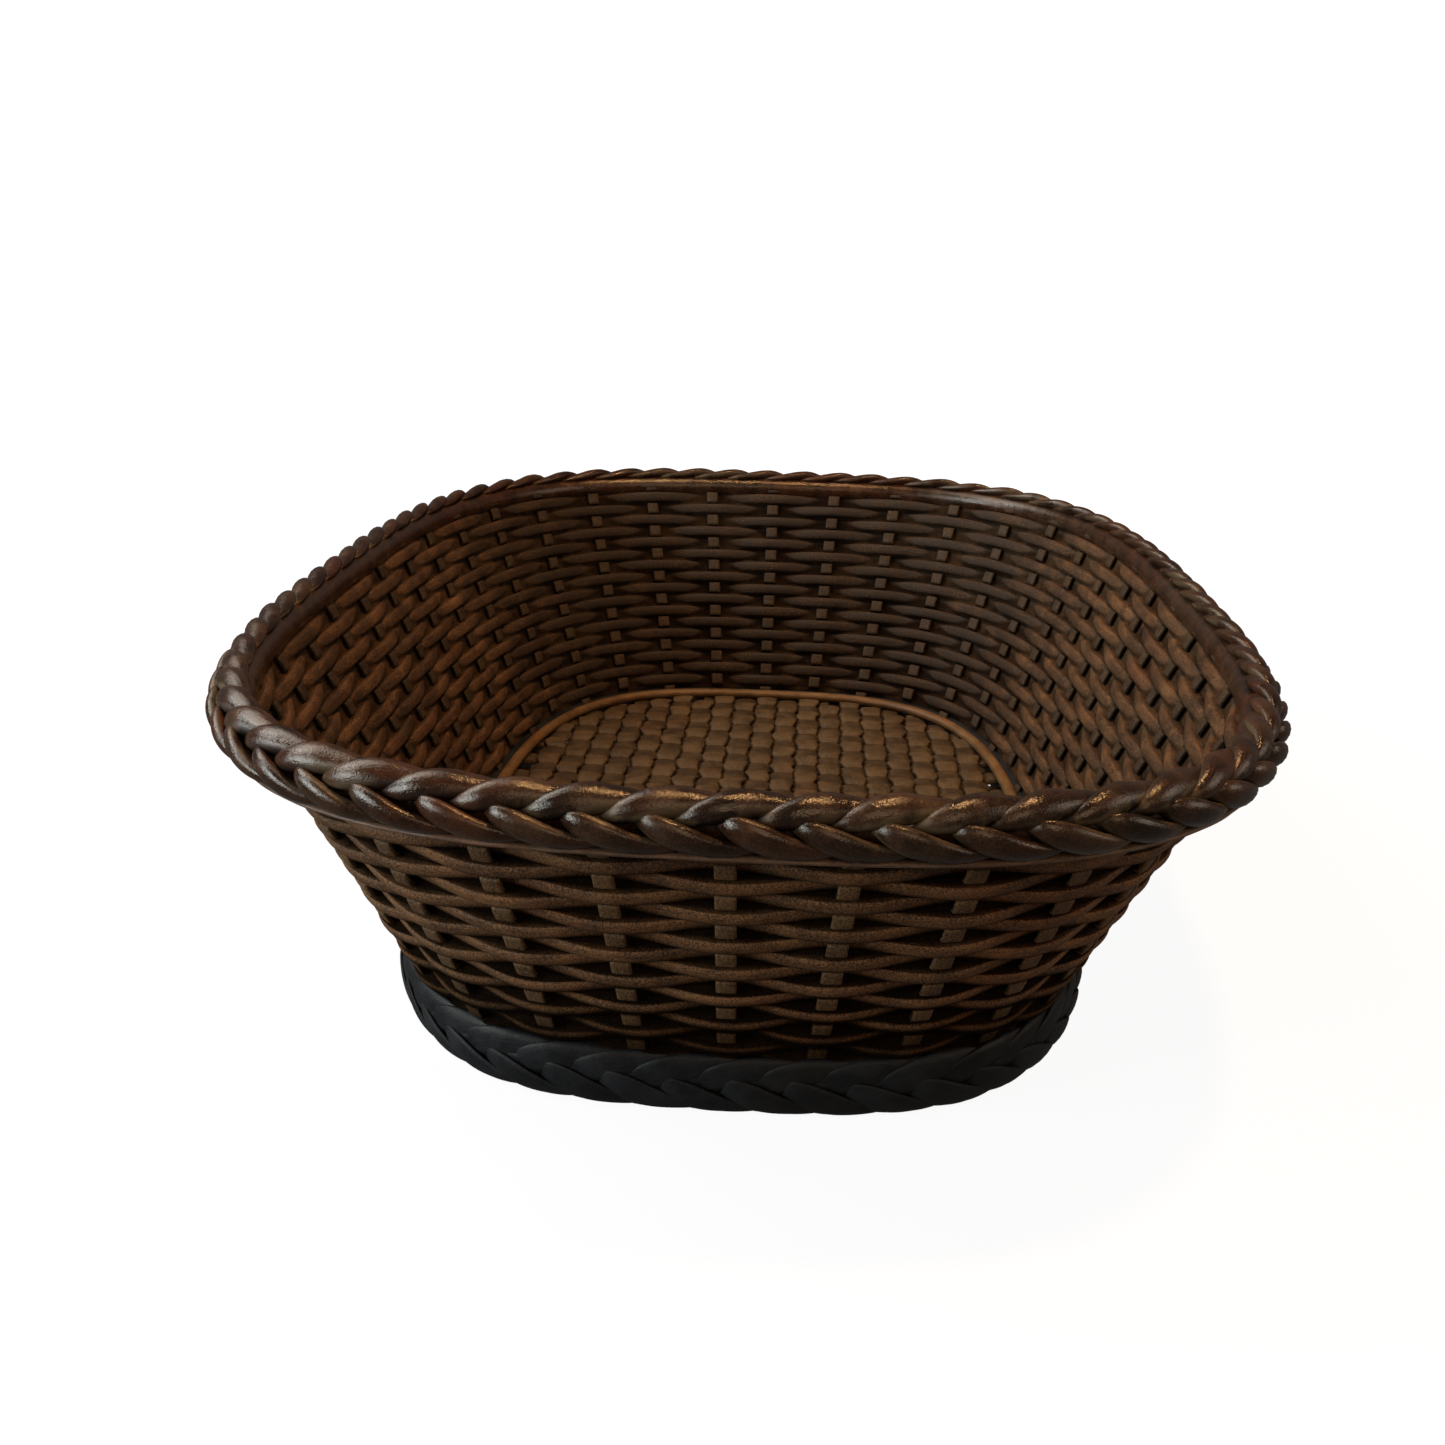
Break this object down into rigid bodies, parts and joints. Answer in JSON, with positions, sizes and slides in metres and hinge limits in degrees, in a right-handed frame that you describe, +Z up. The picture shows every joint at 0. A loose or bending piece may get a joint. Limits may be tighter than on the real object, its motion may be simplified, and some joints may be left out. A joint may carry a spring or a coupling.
{
  "type": "woven basket",
  "caption": "Low oval open basket of flat stakes and closed weaver rows, with flared sides, a plaited rim, a plaited foot and a woven floor.",
  "frame": {"origin": "on the table, under the middle of the basket, at the middle of the foot hoop's underside", "axes": "+Z up, Y along the basket with the front end at -Y, X across it"},
  "size_m": [0.3152, 0.4295, 0.11],
  "materials": {
    "rim_cane": "dark brown lacquer, glossy",
    "weaver_cane": "dark brown stain, satin",
    "stake_cane": "dark brown stain, satin",
    "foot_cane": "near black lacquer, satin",
    "floor_cane": "brown stain, satin"
  },
  "bodies": {
    "root": {"floor_bead": "floor_cane", "floor_cross_strips_1": "floor_cane", "floor_cross_strips_2": "floor_cane", "floor_cross_strips_3": "floor_cane", "floor_cross_strips_4": "floor_cane", "floor_cross_strips_5": "floor_cane", "floor_cross_strips_6": "floor_cane", "floor_long_strips_1": "floor_cane", "floor_long_strips_2": "floor_cane", "floor_long_strips_3": "floor_cane", "floor_long_strips_4": "floor_cane", "foot_hoop": "foot_cane", "foot_plait_strand_1": "foot_cane", "foot_plait_strand_2": "foot_cane", "foot_plait_strand_3": "foot_cane", "rim_cord": "rim_cane", "rim_hoop": "rim_cane", "rim_plait_strand_1": "rim_cane", "rim_plait_strand_2": "rim_cane", "rim_plait_strand_3": "rim_cane", "stakes_01_02": "stake_cane", "stakes_03_04": "stake_cane", "stakes_05_06": "stake_cane", "stakes_07_08": "stake_cane", "stakes_09_10": "stake_cane", "stakes_11_12": "stake_cane", "stakes_13_14": "stake_cane", "stakes_15_16": "stake_cane", "stakes_17_18": "stake_cane", "stakes_19_20": "stake_cane", "stakes_21_22": "stake_cane", "stakes_23_24": "stake_cane", "stakes_25_26": "stake_cane", "stakes_27_28": "stake_cane", "stakes_29_30": "stake_cane", "stakes_31_32": "stake_cane", "stakes_33_34": "stake_cane", "stakes_35_36": "stake_cane", "stakes_37_38": "stake_cane", "stakes_39_40": "stake_cane", "weaver_row_01": "weaver_cane", "weaver_row_02": "weaver_cane", "weaver_row_03": "weaver_cane", "weaver_row_04": "weaver_cane", "weaver_row_05": "weaver_cane", "weaver_row_06": "weaver_cane", "weaver_row_07": "weaver_cane", "weaver_row_08": "weaver_cane", "weaver_row_09": "weaver_cane", "weaver_row_10": "weaver_cane", "weaver_row_11": "weaver_cane", "weaver_row_12": "weaver_cane", "weaver_row_13": "weaver_cane", "weaver_row_14": "weaver_cane", "weaver_row_15": "weaver_cane", "weaver_row_16": "weaver_cane", "weaver_row_17": "weaver_cane", "weaver_row_18": "weaver_cane"}
  },
  "joints": []
}
